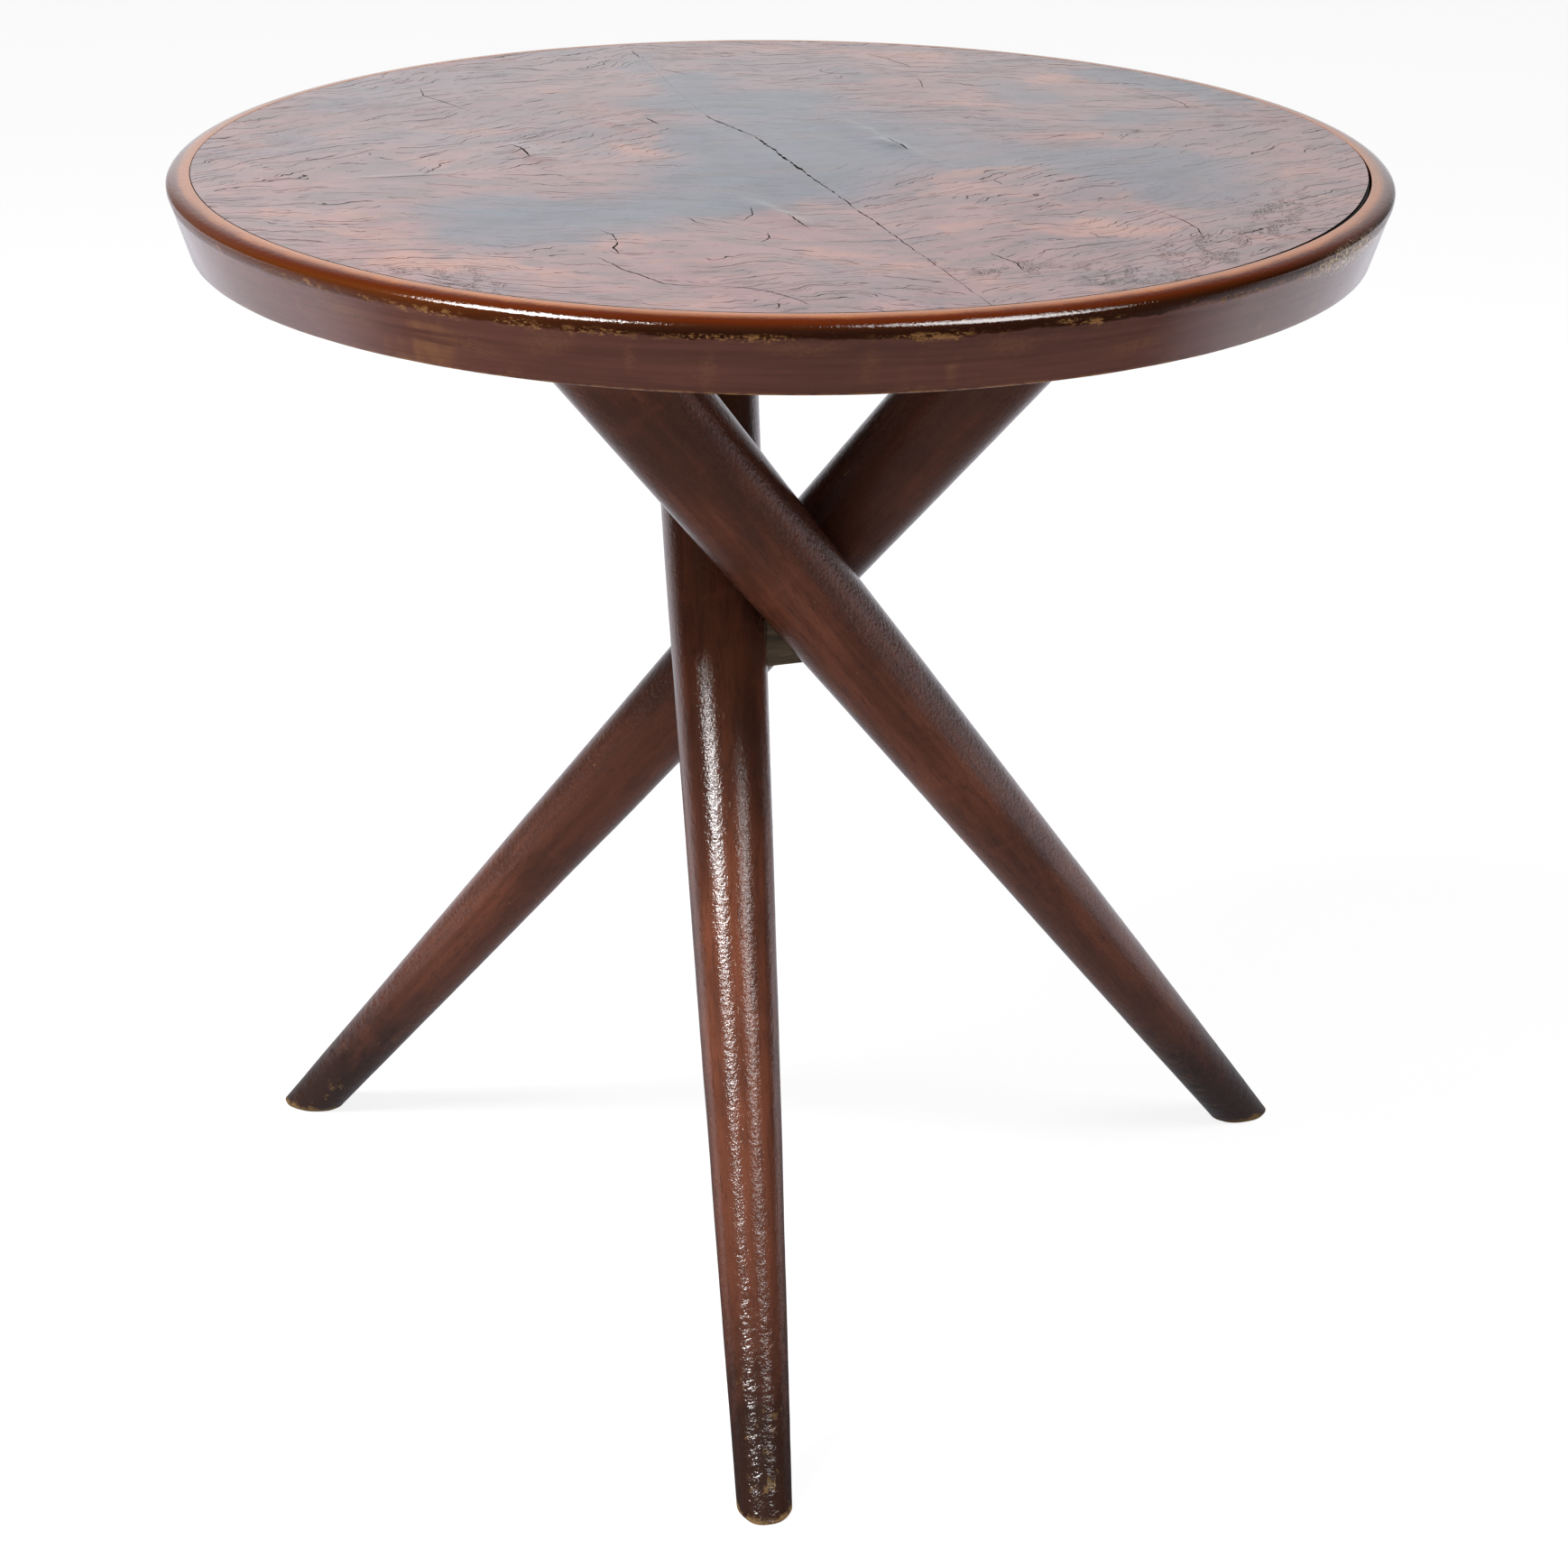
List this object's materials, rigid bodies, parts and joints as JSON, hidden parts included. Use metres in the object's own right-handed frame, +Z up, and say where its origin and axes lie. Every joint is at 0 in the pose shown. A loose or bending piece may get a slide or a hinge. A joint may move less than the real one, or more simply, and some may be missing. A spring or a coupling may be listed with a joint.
{
  "type": "tripod side table",
  "caption": "Round side table: quartered burl veneer top with a rounded, inward-sloping solid rim, on round tapered legs that cross and touch under the top.",
  "frame": {"origin": "on the floor, under the middle of the round top", "axes": "+Z up, through the middle of the top; the front foot lies 75 degrees clockwise of +X, seen from above"},
  "size_m": [0.6092, 0.6089, 0.58],
  "materials": {
    "burl_veneer": "burl walnut veneer, crazed glossy varnish",
    "rim_beech": "stained beech, glossy varnish worn at the lip",
    "stained_beech": "dark stained beech, glossy varnish",
    "unpolished_wood": "unpolished dark wood",
    "pale_beech": "bare beech",
    "board": "bare board",
    "plain_veneer": "plain veneer, thinly sealed",
    "screw_steel": "dull steel"
  },
  "bodies": {
    "root": {"leg_front": "stained_beech", "tenon_wedge_front": "pale_beech", "crossing_dowel_front": "pale_beech", "leg_right": "stained_beech", "tenon_wedge_right": "pale_beech", "crossing_dowel_right": "pale_beech", "leg_left": "stained_beech", "tenon_wedge_left": "pale_beech", "crossing_dowel_left": "pale_beech", "hub_block": "unpolished_wood", "rim_length_1": "rim_beech", "rim_tongue_1": "pale_beech", "bearer_screw_1": "screw_steel", "rim_length_2": "rim_beech", "rim_tongue_2": "pale_beech", "bearer_screw_2": "screw_steel", "rim_length_3": "rim_beech", "rim_tongue_3": "pale_beech", "bearer_screw_3": "screw_steel", "rim_length_4": "rim_beech", "rim_tongue_4": "pale_beech", "bearer_screw_4": "screw_steel", "rim_length_5": "rim_beech", "rim_tongue_5": "pale_beech", "bearer_screw_5": "screw_steel", "rim_length_6": "rim_beech", "rim_tongue_6": "pale_beech", "bearer_screw_6": "screw_steel", "veneer_quarter_1": "burl_veneer", "veneer_quarter_2": "burl_veneer", "veneer_quarter_3": "burl_veneer", "veneer_quarter_4": "burl_veneer", "top_core": "board", "bearer_board": "board", "backing_veneer": "plain_veneer"}
  },
  "joints": []
}
